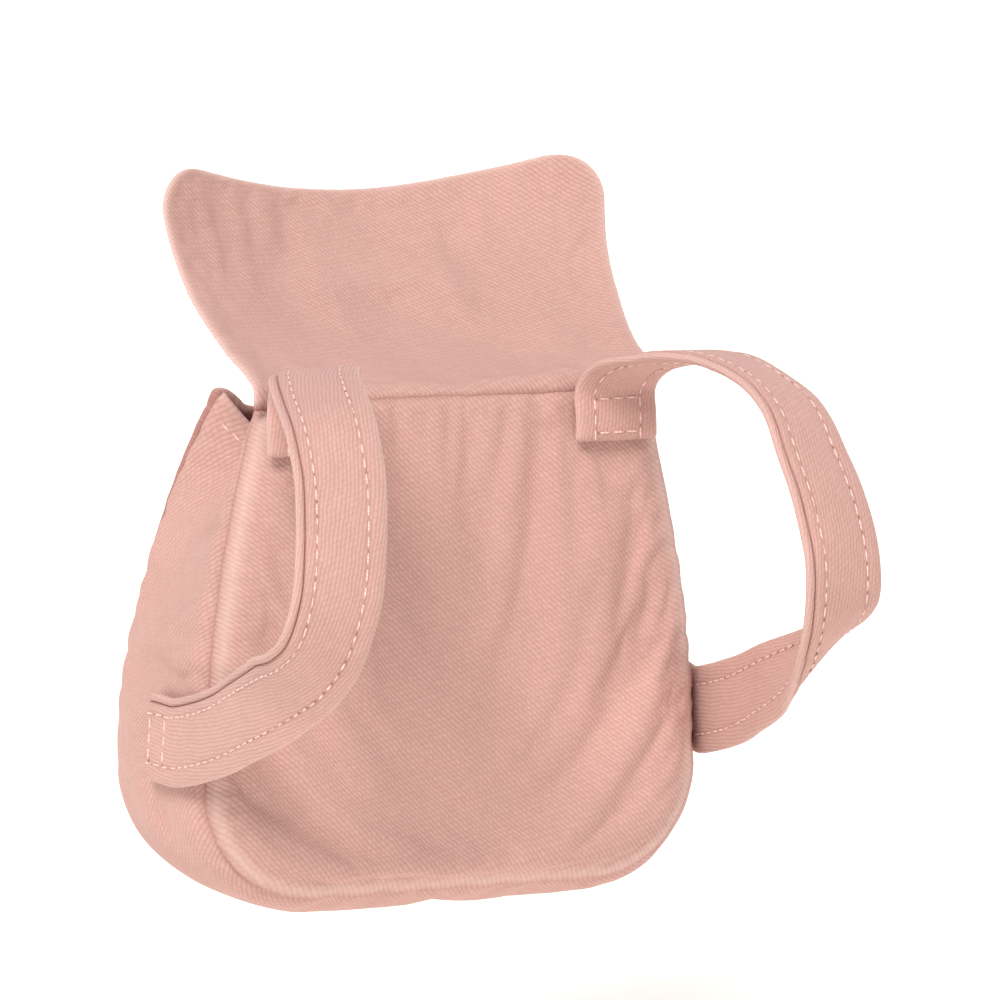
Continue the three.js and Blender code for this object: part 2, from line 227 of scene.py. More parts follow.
def cotton_twill(name, rib_angle, rib, groove, worn, painted_shade):
    """Twill on the cloth map, with its ribs turned by an angle from the cloth's length."""
    material, tree, shader = new_material(name)
    flat = add_node(tree, "ShaderNodeUVMap", uv_map="cloth")
    turned = add_node(tree, "ShaderNodeMapping", {
        "Vector": flat.outputs["UV"],
        "Rotation": (0, 0, rib_angle),
        "Scale": (rib_pitch * mm, float_length * mm, 1),
    }, vector_type="TEXTURE")
    waver = add_node(tree, "ShaderNodeTexNoise", {
        "Vector": flat.outputs["UV"], "Scale": 1 / (waver_size * mm), "Detail": 5.0,
        "Roughness": 0.6,
    })
    across = add_node(tree, "ShaderNodeSeparateXYZ", {"Vector": turned.outputs["Vector"]})
    wavered = add_node(tree, "ShaderNodeMath", {
        0: waver.outputs["Fac"], 1: waver_ribs, 2: across.outputs["X"],
    }, operation="MULTIPLY_ADD")
    rib_count = add_node(tree, "ShaderNodeMath", {0: wavered.outputs[0]}, operation="FLOOR")
    rib_share = add_node(tree, "ShaderNodeMath", {
        0: wavered.outputs[0], 1: 0.5,
    }, operation="PINGPONG")
    rib_round = add_node(tree, "ShaderNodeMapRange", {
        "Value": rib_share.outputs[0], "From Min": 0.0, "From Max": 0.36,
    }, interpolation_type="SMOOTHSTEP")
    stagger = add_node(tree, "ShaderNodeMath", {
        0: rib_count.outputs[0], 1: float_stagger, 2: across.outputs["Y"],
    }, operation="MULTIPLY_ADD")
    float_share = add_node(tree, "ShaderNodeMath", {
        0: stagger.outputs[0], 1: 0.5,
    }, operation="PINGPONG")
    fleck = add_node(tree, "ShaderNodeTexNoise", {
        "Vector": flat.outputs["UV"], "Scale": 1 / (fleck_size * mm), "Detail": 3.0,
        "Roughness": 0.65,
    })
    float_count = add_node(tree, "ShaderNodeMath", {0: stagger.outputs[0]}, operation="FLOOR")
    yarn_place = add_node(tree, "ShaderNodeCombineXYZ", {
        "X": rib_count.outputs[0], "Y": float_count.outputs[0],
    })
    yarn_shade = add_node(tree, "ShaderNodeTexWhiteNoise", {
        "Vector": yarn_place.outputs["Vector"],
    }, noise_dimensions="2D")
    height = fleck.outputs["Fac"]
    for part, weight in (
        (rib_round.outputs[0], rib_weight),
        (float_share.outputs[0], float_weight),
        (yarn_shade.outputs["Value"], yarn_weight),
    ):
        height = add_node(tree, "ShaderNodeMath", {
            0: part, 1: weight, 2: height,
        }, operation="MULTIPLY_ADD").outputs[0]
    # The colour follows the relief: darker in its hollows, which is painted shade, and paler on
    # its crowns, which is painted light, with random tone from the yarn and fleck noise.
    tone = add_node(tree, "ShaderNodeMapRange", {
        "Value": height, "From Min": 0.5, "From Max": 2.0,
    })
    woven = add_node(tree, "ShaderNodeMix", {
        "Factor": tone.outputs[0], 6: linear(groove), 7: linear(rib),
    }, data_type="RGBA")
    mottle = add_node(tree, "ShaderNodeTexNoise", {
        "Vector": flat.outputs["UV"], "Scale": 1 / (mottle_size * mm), "Detail": 4.0,
    })
    mottle_gain = add_node(tree, "ShaderNodeMapRange", {
        "Value": mottle.outputs["Fac"], "From Min": 0.3, "From Max": 0.7,
        "To Min": 0.95, "To Max": 1.04,
    })
    mottled = add_node(tree, "ShaderNodeMix", {
        "Factor": 1.0, 6: woven.outputs[2], 7: mottle_gain.outputs[0],
    }, data_type="RGBA", blend_type="MULTIPLY")
    finished = mottled.outputs[2]
    # Of the two attributes, the first pales rubbed edges, as wear does; the second is painted
    # shade, darkening seam grooves and slits.
    for attribute, most, colour in (("worn", 0.5, worn), ("painted_shade", 0.8, painted_shade)):
        where = add_node(tree, "ShaderNodeAttribute", attribute_name=attribute)
        share = add_node(tree, "ShaderNodeMath", {
            0: where.outputs["Fac"], 1: most,
        }, operation="MULTIPLY")
        finished = add_node(tree, "ShaderNodeMix", {
            "Factor": share.outputs[0], 6: finished, 7: linear(colour),
        }, data_type="RGBA").outputs[2]
    relief = add_node(tree, "ShaderNodeBump", {
        "Height": height, "Strength": 0.6, "Distance": twill_relief * mm,
    })
    tree.links.new(finished, shader.inputs["Base Color"])
    tree.links.new(relief.outputs["Normal"], shader.inputs["Normal"])
    shader.inputs["Roughness"].default_value = 0.86
    shader.inputs["Specular IOR Level"].default_value = 0.25
    shader.inputs["Sheen Weight"].default_value = 0.2
    shader.inputs["Sheen Roughness"].default_value = 0.5
    shader.inputs["Sheen Tint"].default_value = linear("#f6dcd4")
    return material


diagonal = math.radians(45)
nearly_straight = math.radians(6)
# The darkest colour here is painted shade, for seam grooves, the flap's root, a strap's slit and
# its stitch rows.
# The groove and rib colours are the two ends of a tone that is painted shade between the ribs,
# painted light on their crowns, and random from yarn to yarn.
twill_colours = {"rib": "#c69d94", "groove": "#b0867e", "worn": "#dcc1b9", "painted_shade": "#874a46"}
body_twill = cotton_twill("cotton twill", diagonal, **twill_colours)
strap_twill = cotton_twill("cotton twill, cut along the rib", nearly_straight, **twill_colours)

# %% [markdown]
# ## Sewing thread and touch tape
# The thread is a paler pink spun polyester: smooth enough to catch a little light. Where the
# needle went in, a plain dark material gives the eye the shade inside the hole. The touch
# tape is nylon, one side a mat of tiny hooks and the other a brushed pile. Both are too fine
# to model loop by loop, so a fine bumpy grain stands for them.

# %% Thread and tape
strand_pitch = 0.35


def spun_thread():
    """Twisted thread: faint stripes across each stitch."""
    material, tree, shader = new_material("spun polyester thread")
    place = add_node(tree, "ShaderNodeTexCoord")
    strands = add_node(tree, "ShaderNodeTexWave", {
        "Vector": place.outputs["Object"], "Scale": 0.314 / (strand_pitch * mm),
        "Distortion": 0.6,
    }, bands_direction="DIAGONAL")
    colour = add_node(tree, "ShaderNodeMix", {
        "Factor": strands.outputs["Fac"], 6: linear("#d2ada3"), 7: linear("#e6cbc3"),
    }, data_type="RGBA")
    relief = add_node(tree, "ShaderNodeBump", {
        "Height": strands.outputs["Fac"], "Strength": 0.3, "Distance": 0.04 * mm,
    })
    tree.links.new(colour.outputs[2], shader.inputs["Base Color"])
    tree.links.new(relief.outputs["Normal"], shader.inputs["Normal"])
    shader.inputs["Roughness"].default_value = 0.6
    return material


def touch_tape(name, grain, depth):
    """Nylon tape with a grain of hooks or pile."""
    material, tree, shader = new_material(name)
    place = add_node(tree, "ShaderNodeTexCoord")
    cells = add_node(tree, "ShaderNodeTexVoronoi", {
        "Vector": place.outputs["Object"], "Scale": 1 / (grain * mm), "Randomness": 0.8,
    })
    colour = add_node(tree, "ShaderNodeMix", {
        "Factor": cells.outputs["Distance"], 6: linear("#cf9f94"), 7: linear("#b07d73"),
    }, data_type="RGBA")
    relief = add_node(tree, "ShaderNodeBump", {
        "Height": cells.outputs["Distance"], "Strength": 0.8, "Distance": depth * mm,
    }, invert=True)
    tree.links.new(colour.outputs[2], shader.inputs["Base Color"])
    tree.links.new(relief.outputs["Normal"], shader.inputs["Normal"])
    shader.inputs["Roughness"].default_value = 0.7
    return material


thread = spun_thread()
hole_shade, hole_tree, hole_shader = new_material("shadow in a needle hole")
hole_shader.inputs["Base Color"].default_value = linear("#a06e63")
hole_shader.inputs["Roughness"].default_value = 0.95
hook_tape = touch_tape("nylon hook tape", 0.7, 0.4)
pile_tape = touch_tape("brushed nylon pile", 0.4, 0.25)

# %% [markdown]
# ## Reading the tables
# A soft form is easiest to judge in sections: at this height the bag is so deep, so tucked,
# so bowed. Each table has a row for a section and columns with plain names, and this helper
# reads a column anywhere between the rows, on a smooth curve.


# %% Table reader
def column_at(rows, key, column, share):
    """Reads one column at a share between its rows, on a smooth curve through them."""
    last = len(rows) - 1
    low = 0
    while low < last - 1 and share > rows[low + 1][key]:
        low += 1

    def slope(i):
        before, after = rows[max(i - 1, 0)], rows[min(i + 1, last)]
        return (after[column] - before[column]) / (after[key] - before[key])

    span = rows[low + 1][key] - rows[low][key]
    t = min(max((share - rows[low][key]) / span, 0), 1)
    rise = 3 * t * t - 2 * t * t * t
    start = t * (1 - t) * (1 - t) * span * slope(low)
    end = t * t * (t - 1) * span * slope(low + 1)
    return rows[low][column] * (1 - rise) + rows[low + 1][column] * rise + start + end


def table(columns, *rows):
    """A list of rows that are read by column name."""
    names = columns.split()
    return [dict(zip(names, row)) for row in rows]


def bell(share):
    """0 at both ends and 1 in the middle."""
    return math.sin(math.pi * min(max(share, 0), 1)) ** 2


def mix(a, b, share):
    return a * (1 - share) + b * share


# %% [markdown]
# ## The seam line
# Seen from the front, both big panels end on one line: down a side, round the base, and up
# the other side. Walking that line gives a place, the way outward and a distance, which is
# what a sewer measures with. A search tree then says how far inside the seam any point lies.

# %% Seam line
curve_steps = 60
corner_steps = 24


def half_seam_line():
    """Points from the mouth down one side and round the corner to the middle of the base."""
    points = []
    for i in range(curve_steps):
        t = i / curve_steps
        x = mix(mix(mouth_half, base_half, t), base_half, t)
        z = mix(mix(0, -side_height / 2, t), mix(-side_height / 2, -side_height, t), t)
        points.append(Vector((x, z)))
    for i in range(corner_steps + 1):
        turn = math.pi / 2 * i / corner_steps
        x = base_half - corner_radius + corner_radius * math.cos(turn)
        points.append(Vector((x, -side_height - corner_radius * math.sin(turn))))
    points += [Vector((x, -bag_height)) for x in (15, 10, 5, 0)]
    return points


right_half = half_seam_line()
seam_line = right_half + [Vector((-p.x, p.y)) for p in reversed(right_half[:-1])]
seam_marks = [0.0]
for here, there in zip(seam_line, seam_line[1:]):
    seam_marks.append(seam_marks[-1] + (there - here).length)
seam_length = seam_marks[-1]
corner_mark = seam_marks[curve_steps + corner_steps // 2]  # the middle of a base corner
print("seam line", round(seam_length, 1), "mm long")


def seam_at(distance):
    """The place on the seam line and the way outward, after a distance from the mouth."""
    distance = min(max(distance, 0), seam_length)
    i = min(max(bisect.bisect(seam_marks, distance) - 1, 0), len(seam_line) - 2)
    step = seam_line[i + 1] - seam_line[i]
    place = seam_line[i] + step * (distance - seam_marks[i]) / step.length
    along = (seam_line[min(i + 2, len(seam_line) - 1)] - seam_line[max(i - 1, 0)]).normalized()
    return place, Vector((-along.y, along.x))


station_count = 500
stations = [seam_at(seam_length * i / station_count) for i in range(station_count + 1)]
station_tree = kdtree.KDTree(len(stations))
for i, (place, outward) in enumerate(stations):
    station_tree.insert((place.x, 0, place.y), i)
station_tree.balance()


def inside_seam(x, z):
    """How far a point lies inside the seam line, and how far along it."""
    i = station_tree.find((x, 0, z))[1]
    place, outward = stations[i]
    inside = (place.x - x) * outward.x + (place.y - z) * outward.y
    return inside, seam_length * i / station_count


def seam_half(z):
    """Half the width between the seams at a height."""
    if z >= -side_height:
        rest = 1 + z / side_height
        return base_half - (base_half - mouth_half) * rest * rest
    below = min(-side_height - z, corner_radius)
    return base_half - corner_radius + math.sqrt(corner_radius**2 - below**2)


def panel_point(a, b, top_at):
    """A point of a big panel in X and Z, between its mouth edge and the seam."""
    a, b = crowd_ends(a), crowd_ends(b)
    right = seam_at(b * corner_mark)[0]
    left = Vector((-right.x, right.y))
    base = seam_at(mix(seam_length - corner_mark, corner_mark, a))[0]
    corner = seam_at(corner_mark)[0]
    other_corner = Vector((-corner.x, corner.y))
    sides = left.lerp(right, a)
    ends = top_at(2 * a - 1).lerp(base, b)
    return sides + ends - top_at(-1).lerp(top_at(1), a).lerp(other_corner.lerp(corner, a), b)


# %% [markdown]
# ## Folds
# Cloth tells its story in small folds. At a seam the thread gathers the cloth a little, so it
# puckers every few millimetres and sinks into a groove. Away from it the panel is slack and
# lies in broad shallow waves. These helpers give the height of each kind at a point.

# %% Fold helpers
pinch_depth = 0.8
pinch_width = 0.9
pucker_height = 0.4
pucker_pitch = 2.6
pucker_reach = 3.5
hold_width = 1.2
ridge_out = 1.0
ridge_over = 0.7
ridge_width = 1.4


def line_at(distance, width):
    """1 on a line, fading to 0 within about a width of it."""
    return math.exp(-((max(distance, 0) / width) ** 2))


def outside_box(off_x, off_z, width, height):
    """How far a point is outside a box, given its offsets from the middle; 0 inside."""
    return max(abs(off_x) - width / 2, abs(off_z) - height / 2, 0)


def puckers(inside, along):
    """The small folds that run out from a seam, where the thread gathers the cloth."""
    near = max(inside, 0)
    wander = 1.5 * noise.noise(Vector((along / 11, 3.1, 0)))
    pucker = noise.noise(Vector((along / pucker_pitch + wander, near / 12, 7.7)))
    stiff = 1 - 0.5 * line_at(inside, 1.0)
    return pucker_height * pucker * stiff * math.exp(-near / pucker_reach)


def seam_folds(inside, along):
    """The puckers at a seam and the groove that the cloth sinks into."""
    return puckers(inside, along) - pinch_depth * line_at(inside, pinch_width)


def crowd_ends(share):
    """Spreads points so that they lie closer together towards both ends."""
    side = 2 * share - 1
    return 0.5 + 0.5 * (0.6 * side + 0.4 * math.sin(side * math.pi / 2))


def seam_ridge(inside, along):
    """The way a panel's rim stands out past its seam and turns over it, as (out, over)."""
    out = seam_at(along)[1] * (ridge_out * line_at(inside, ridge_width))
    over = ridge_over * line_at(inside, ridge_width / 2)
    return out, over


def held_at_seam(inside):
    """1 where a seam holds the cloth, falling to 0 a little way in."""
    return math.exp(-((max(inside, 0) / hold_width) ** 4))


def slack(x, z, seed, height):
    """Broad shallow waves of loose cloth."""
    broad = noise.noise(Vector((x / 19, z / 23, seed)))
    small = noise.noise(Vector((x / 8, z / 9, seed + 5)))
    return height * (broad + 0.4 * small)


def fold_height(folds, x, z):
    """Adds up a table of folds: each a soft ridge, or a crease where its height is below 0."""
    total = 0
    for fold in folds:
        turn = math.radians(fold["angle"])
        dx, dz = x - fold["x"], z - fold["z"]
        along = (dx * math.cos(turn) + dz * math.sin(turn)) / (fold["length"] / 2)
        across = (-dx * math.sin(turn) + dz * math.cos(turn)) / (fold["width"] / 2)
        if abs(along) < 1:
            total += fold["height"] * (1 - along * along) ** 2 * math.exp(-across * across)
    return total


# %% [markdown]
# ## A cloth panel
# bmesh.ops.create_grid gives a flat piece of cloth. Its own measures, in real metres, become
# a UV map named cloth, which the weave follows. Then every point moves to its place on the
# surface, and out along the normal by the height of the folds. A panel has a little more cloth
# than its seams take up, so it settles in a short cloth simulation, held where it is sewn. A
# Solidify modifier gives the thickness, less or more where a vertex group says so, and a
# Subdivision one rounds the cut edge into a turned one.


# %% Panel helpers
def flat_area(bm, uv):
    """Area of the cut cloth, measured on its flat map."""
    total = 0
    for face in bm.faces:
        flat = [Vector(loop[uv].uv).to_3d() for loop in face.loops]
        total += (flat[1] - flat[0]).cross(flat[2] - flat[0]).length / 2
        total += (flat[2] - flat[0]).cross(flat[3] - flat[0]).length / 2
    return total


def new_piece(bm, name, material, node):
    """Turns a finished bmesh, in millimetres, into an object in metres that stands for a node."""
    bmesh.ops.scale(bm, vec=(mm, mm, mm), verts=bm.verts)
    mesh = bpy.data.meshes.new(name)
    bm.to_mesh(mesh)
    bm.free()
    for polygon in mesh.polygons:
        polygon.use_smooth = True
    mesh.materials.append(material)
    piece = bpy.data.objects.new(name, mesh)
    scene.collection.objects.link(piece)
    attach(piece, "root")
    if node:
        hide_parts(node)
    return piece


sim_scale = 0.01  # 1 mm is 1 cm in the simulation, which is steadier than cloth this small
sim_frames = 24
longest_shift = 2.5
settle_settings = {
    "quality": 6,
    "mass": 0.2,
    "tension_stiffness": 20,
    "compression_stiffness": 20,
    "shear_stiffness": 10,
    "bending_stiffness": 0.4,
    "air_damping": 4,
    "vertex_group_mass": "sewn",
    "pin_stiffness": 4,
}


def settle(bm, held, spare, frames):
    """Lets a panel with a little spare cloth buckle by itself between the places that hold it."""
    mesh = bpy.data.meshes.new("settling")
    large = bm.copy()
    bmesh.ops.scale(large, vec=(sim_scale,) * 3, verts=large.verts)
    large.to_mesh(mesh)
    large.free()
    settling = bpy.data.objects.new("settling", mesh)
    scene.collection.objects.link(settling)
    sewn = settling.vertex_groups.new(name="sewn")
    for v in bm.verts:
        sewn.add([v.index], held[v], "REPLACE")
    simulated = settling.modifiers.new("cloth", "CLOTH")
    for setting, value in settle_settings.items():
        setattr(simulated.settings, setting, value)
    simulated.settings.shrink_min = -spare
    simulated.settings.effector_weights.gravity = 0.15
    simulated.collision_settings.use_collision = False
    simulated.point_cache.frame_start = 1
    simulated.point_cache.frame_end = frames
    for step in range(1, frames + 1):
        scene.frame_set(step)
    settled = settling.evaluated_get(bpy.context.evaluated_depsgraph_get())
    most = 0
    for v in bm.verts:
        shift = settled.data.vertices[v.index].co / sim_scale - v.co
        most = max(most, shift.length)
        if shift.length > longest_shift:
            shift *= longest_shift / shift.length
        v.co += shift
    bpy.data.objects.remove(settling)
    bpy.data.meshes.remove(mesh)
    scene.frame_set(1)
    return most


def cloth_panel(name, grid, place, lift, flat, turn, node, tones, wall_at, held=None,
                spare=0.03, material=body_twill):
    """Bends a grid onto a surface, lets it settle, and gives it a flat map and a thickness."""
    columns, rows = grid
    bm = bmesh.new()
    uv = bm.loops.layers.uv.new("cloth")
    worn = bm.verts.layers.float.new("worn")
    # The second layer holds painted shade for grooves and slits.
    painted_shade = bm.verts.layers.float.new("painted_shade")
    bmesh.ops.create_grid(bm, x_segments=columns, y_segments=rows, size=0.5)
    shares = {v: (v.co.x + 0.5, v.co.y + 0.5) for v in bm.verts}
    for face in bm.faces:
        for loop in face.loops:
            loop[uv].uv = [value * mm for value in flat(*shares[loop.vert])]
    area = flat_area(bm, uv)
    for v, (a, b) in shares.items():
        v.co = place(a, b)
        v[worn], v[painted_shade] = tones(a, b)
    if turn:
        bmesh.ops.reverse_faces(bm, faces=bm.faces)
    bm.normal_update()
    for v, (a, b) in shares.items():
        v.co += v.normal * lift(a, b)
    bm.verts.index_update()
    if held:
        most = settle(bm, {v: held(a, b) for v, (a, b) in shares.items()}, spare, sim_frames)
        print(name, "settled by at most", round(most, 2), "mm")
    bm.normal_update()
    face_tree = bvhtree.BVHTree.FromBMesh(bm)
    walls = [wall_at(*shares[v]) for v in bm.verts]
    thickest = max(walls)
    piece = new_piece(bm, name, material, node)
    thick = piece.vertex_groups.new(name="thick")
    for index, thickness in enumerate(walls):
        thick.add([index], thickness / thickest, "REPLACE")
    wall = piece.modifiers.new("cloth", "SOLIDIFY")
    wall.thickness = thickest * mm
    wall.offset = 0
    wall.vertex_group = "thick"
    finer = piece.modifiers.new("turned edge", "SUBSURF")
    finer.levels = finer.render_levels = 1
    print(name, "flat area", round(area * 1e4, 1), "cm2")
    return piece, area, face_tree


def roll_at(inside):
    """1 at the seam, falling to 0 where the roll ends."""
    return max(1 - inside / roll_width, 0) ** 2


# %% [markdown]
# ## Back panel
# This panel lies on the wearer's back. It is nearly flat, and its rim rolls away to the side
# seam. The straps pull on it at their roots, so soft folds fan out from there.

# %% Back panel
back_folds = table(
    "x z angle length width height",
    (-20, -20, 62, 34, 7, 0.5),
    (-9, -17, 100, 30, 8, -0.35),
    (20, -20, 118, 34, 7, 0.5),
    (8, -16, 82, 28, 8, -0.3),
    (-24, -46, -38, 26, 6, 0.4),
    (25, -47, 36, 24, 6, 0.35),
    (2, -52, 4, 44, 7, -0.35),
    (-3, -36, 10, 40, 9, 0.3),
)


def back_point(a, b):
    """Place in X and Z, how far inside the seam that is, and how far along it."""
    x, z = panel_point(a, b, lambda side: Vector((side * mouth_half, 0)))
    return x, z, *inside_seam(x, z)


def back_place(a, b):
    x, z, inside, along = back_point(a, b)
    out, over = seam_ridge(inside, along)
    return Vector((x + out.x, cloth / 2 + seam_roll * roll_at(inside) + over, z + out.y))


def back_lift(a, b):
    x, z, inside, along = back_point(a, b)
    free = 1 - line_at(inside, 5)
    loose = slack(x, z, 1.0, 0.5) + fold_height(back_folds, x, z)
    return puckers(inside, along) + seam_folds(-z, x + 200) + free * loose


def back_tones(a, b):
    x, z, inside, along = back_point(a, b)
    # The second value is painted shade: it darkens the seam's groove and the flap's root along
    # the top edge.
    sewn = max(0.6 * line_at(inside, 0.3), line_at(-z, 0.4))
    return 0.7 * line_at(abs(inside - 0.9), 0.5), sewn


def plain_wall(a, b):
    return cloth


def back_held(a, b):
    """Held at the seams, along the flap's root and under the sewn ends of the straps."""
    x, z, inside, along = back_point(a, b)
    off_root = max(abs(abs(x) - root_spacing / 2) - strap_width / 2, -z - root_lap, 0)
    return max(held_at_seam(inside), held_at_seam(-z), held_at_seam(off_root))


back_panel, back_area, back_tree = cloth_panel(
    "back_panel_cloth", (84, 80), back_place, back_lift,
    lambda a, b: back_point(a, b)[:2], turn=True, node="back_panel", tones=back_tones,
    wall_at=plain_wall, held=back_held,
)

# %% [markdown]
# ## Front panel
# The outer panel bows away from the wearer, sags at its mouth edge and has soft dents where
# the empty bag has given way. Its mouth edge is folded in twice and stitched: a hem.

# %% Front panel
body_rows = table(
    "down depth belly tuck side",
    (0.0, 0.0, 0.95, 1.0, 0.0),
    (0.06, 0.16, 0.92, 0.92, 0.0),
    (0.15, 0.36, 0.82, 0.66, 0.05),
    (0.3, 0.62, 0.68, 0.28, 0.3),
    (0.5, 0.86, 0.62, 0.04, 0.8),
    (0.72, 1.0, 0.7, 0.0, 1.0),
    (0.88, 0.96, 0.6, 0.0, 0.8),
    (1.0, 0.84, 0.35, 0.0, 0.3),
)
dent_rows = table(
    "across down wide tall depth",
    (-0.55, 0.3, 0.28, 0.2, 1.0),
    (0.6, 0.42, 0.25, 0.26, 0.8),
    (0.05, 0.62, 0.5, 0.1, 0.7),
)
front_folds = table(
    "x z angle length width height",
    (-18, -24, 58, 30, 6, 0.7),
    (17, -30, 120, 34, 7, 0.7),
    (-4, -22, 92, 26, 8, -0.4),
    (-26, -48, -40, 24, 6, 0.5),
    (26, -50, 38, 24, 6, 0.5),
    (0, -44, 5, 46, 7, 0.55),
    (4, -54, -6, 40, 6, -0.4),
)
hem_depth = 3.2
hem_thickness = 1.75  # three layers of cloth instead of one
hem_groove = 0.25
hem_stitch = 2.5  # from the edge to the row of stitches


def body_at(column, z):
    return column_at(body_rows, "down", column, -z / bag_height)


def front_seam(z):
    return mouth_depth + (base_depth - mouth_depth) * body_at("depth", z)


def hem_wall(from_edge):
    """The wall is thicker in the hem, and rounded off at its fold."""
    in_hem = 1 / (1 + math.exp(min((from_edge - hem_depth) / 0.2, 50)))
    return mix(cloth, hem_thickness, in_hem) * (1 - 0.5 * line_at(from_edge, 0.3))


def hem_folds(from_edge):
    """The stitches of a hem sink into it."""
    return -hem_groove * line_at(abs(from_edge - hem_stitch), 0.5)


def front_surface(x, z):
    across = min(abs(x) / seam_half(z), 1)
    bow = front_belly * body_at("belly", z) * (1 - across * across) ** 1.5
    roll = seam_roll * (1 - roll_at(inside_seam(x, z)[0]))
    dent = 0
    for row in dent_rows:
        off_x = (x / base_half - row["across"]) / row["wide"]
        off_z = (-z / bag_height - row["down"]) / row["tall"]
        dent += dent_depth * row["depth"] * math.exp(-off_x * off_x - off_z * off_z)
    return Vector((x, front_seam(z) + roll + bow - dent * (1 - across * across), z))


def front_top(side):
    return Vector((side * mouth_half, -mouth_sag * bell((side + 1) / 2)))


def front_point(a, b):
    """Place in X and Z, distance from the mouth edge, inside the seam and along it."""
    x, z = panel_point(a, b, front_top)
    from_edge = front_top(max(min(x / mouth_half, 1), -1)).y - z
    return x, z, from_edge, *inside_seam(x, z)


def front_place(a, b):
    x, z, from_edge, inside, along = front_point(a, b)
    out, over = seam_ridge(inside, along)
    return front_surface(x, z) + Vector((out.x, -over, out.y))


def front_lift(a, b):
    x, z, from_edge, inside, along = front_point(a, b)
    free = 1 - line_at(inside, 5)
    loose = slack(x, z, 20.0, 0.7) + fold_height(front_folds, x, z)
    return puckers(inside, along) + free * loose + hem_folds(from_edge)


def front_tones(a, b):
    x, z, from_edge, inside, along = front_point(a, b)
    ridge = 0.7 * line_at(abs(inside - 0.9), 0.5)
    # The second value is painted shade in the seam's groove.
    return max(line_at(from_edge, 0.4), ridge), 0.6 * line_at(inside, 0.3)


def front_wall(a, b):
    return hem_wall(front_point(a, b)[2])


def front_held(a, b):
    """Held at the seams and under the sewn patch."""
    x, z, from_edge, inside, along = front_point(a, b)
    off_patch = outside_box(x, z + hook_drop, patch_width, patch_height)
    return max(held_at_seam(inside), held_at_seam(off_patch))


front_panel, front_area, front_tree = cloth_panel(
    "front_panel_cloth", (84, 80), front_place, front_lift,
    lambda a, b: front_point(a, b)[:2], turn=False, node="front_panel", tones=front_tones,
    wall_at=front_wall, held=front_held,
)

# %% [markdown]
# ## Gusset
# One long band makes both sides and the bottom. At the mouth the sides are folded in, the way
# a paper bag's are, so its hemmed edge dips in the fold. It starts and ends on the two seams.

# %% Gusset
gusset_overlap = 0.35  # the two rounded edges of a seam press together


def gusset_point(a, b):
    """The distance along the seam line, and the share from the back to the front seam."""
    across = crowd_ends(b)
    dip = side_dip * bell(across)
    return mix(dip, seam_length - dip, a), across


def gusset_edges(a, b):
    """Distances from the mouth edge and from the nearer seam."""
    distance, across = gusset_point(a, b)
    width = front_seam(seam_at(distance)[0].y) - back_seam
    from_mouth = min(distance, seam_length - distance) - side_dip * bell(across)
    return from_mouth, min(across, 1 - across) * width, across * width


def gusset_surface(distance, across):
    place, outward = seam_at(distance)
    back = back_seam - gusset_overlap
    front = front_seam(place.y) + gusset_overlap
    y = mix(back, front, across)
    roll = seam_roll * (1 - roll_at(min(y - back, front - y)))
    bow = side_belly * body_at("side", place.y) - side_tuck * body_at("tuck", place.y)
    out = roll + bow * bell(across) - gusset_overlap
    return Vector((place.x + outward.x * out, y, place.y + outward.y * out))


def gusset_lift(a, b):
    distance, across = gusset_point(a, b)
    from_mouth, inside, from_back = gusset_edges(a, b)
    free = 1 - line_at(inside, 4)
    loose = slack(distance, from_back, 40.0, 0.6)
    return seam_folds(inside, distance) + free * loose + hem_folds(from_mouth)


def gusset_tones(a, b):
    from_mouth, inside, from_back = gusset_edges(a, b)
    # The second value is painted shade along both seams.
    return line_at(from_mouth, 0.4), line_at(inside, 0.8)


def gusset_wall(a, b):
    return hem_wall(gusset_edges(a, b)[0])


def gusset_held(a, b):
    """Held at both seams and under the sewn lower ends of the straps."""
    distance, across = gusset_point(a, b)
    from_mouth, inside, from_back = gusset_edges(a, b)
    off_height = seam_at(distance)[0].y + strap_drop
    off_back = from_back - roll_width - side_lap / 2
    off_lap = outside_box(off_height, off_back, strap_width, side_lap)
    return max(held_at_seam(inside), held_at_seam(off_lap))


gusset, gusset_area, gusset_tree = cloth_panel(
    "gusset_cloth", (190, 30), lambda a, b: gusset_surface(*gusset_point(a, b)), gusset_lift,
    lambda a, b: (gusset_point(a, b)[0], gusset_edges(a, b)[2]), turn=False, node="gusset",
    tones=gusset_tones, wall_at=gusset_wall, held=gusset_held,
)

# %% [markdown]
# ## Flap
# The lid is two layers sewn together and turned, so its edge is round and has no stitches. It
# is unfastened here and stands up, cupped, from its root along the bag's back edge.

# %% Flap
flap_rows = table(
    "along side_back side_up mid_back mid_up flare",
    (0.0, 0.0, 0.0, 0.0, 0.0, 0.22),
    (0.05, 0.015, 0.055, 0.02, 0.05, 0.22),
    (0.12, 0.13, 0.105, 0.15, 0.09, 0.24),
    (0.25, 0.36, 0.185, 0.42, 0.14, 0.34),
    (0.48, 0.68, 0.37, 0.81, 0.28, 0.58),
    (0.65, 0.86, 0.54, 1.06, 0.42, 0.72),
    (0.84, 0.97, 0.77, 1.3, 0.6, 0.9),
    (1.0, 1.0, 1.0, 1.45, 0.78, 1.0),
)
flap_folds = table(
    "x z angle length width height",
    (-19, 9, 112, 26, 5, 0.6),
    (-12, 8, 96, 22, 6, -0.4),
    (18, 10, 70, 26, 6, 0.5),
    (3, 12, 84, 24, 9, 0.35),
    (0, 30, 3, 50, 9, -0.25),
)
flap_length = sum(
    math.hypot(
        flap_reach * (row["side_back"] - before["side_back"]),
        flap_rise * (row["side_up"] - before["side_up"]),
    )
    for before, row in zip(flap_rows, flap_rows[1:])
)
root_overlap = 1.3  # the flap's root is sewn in under the back panel's edge
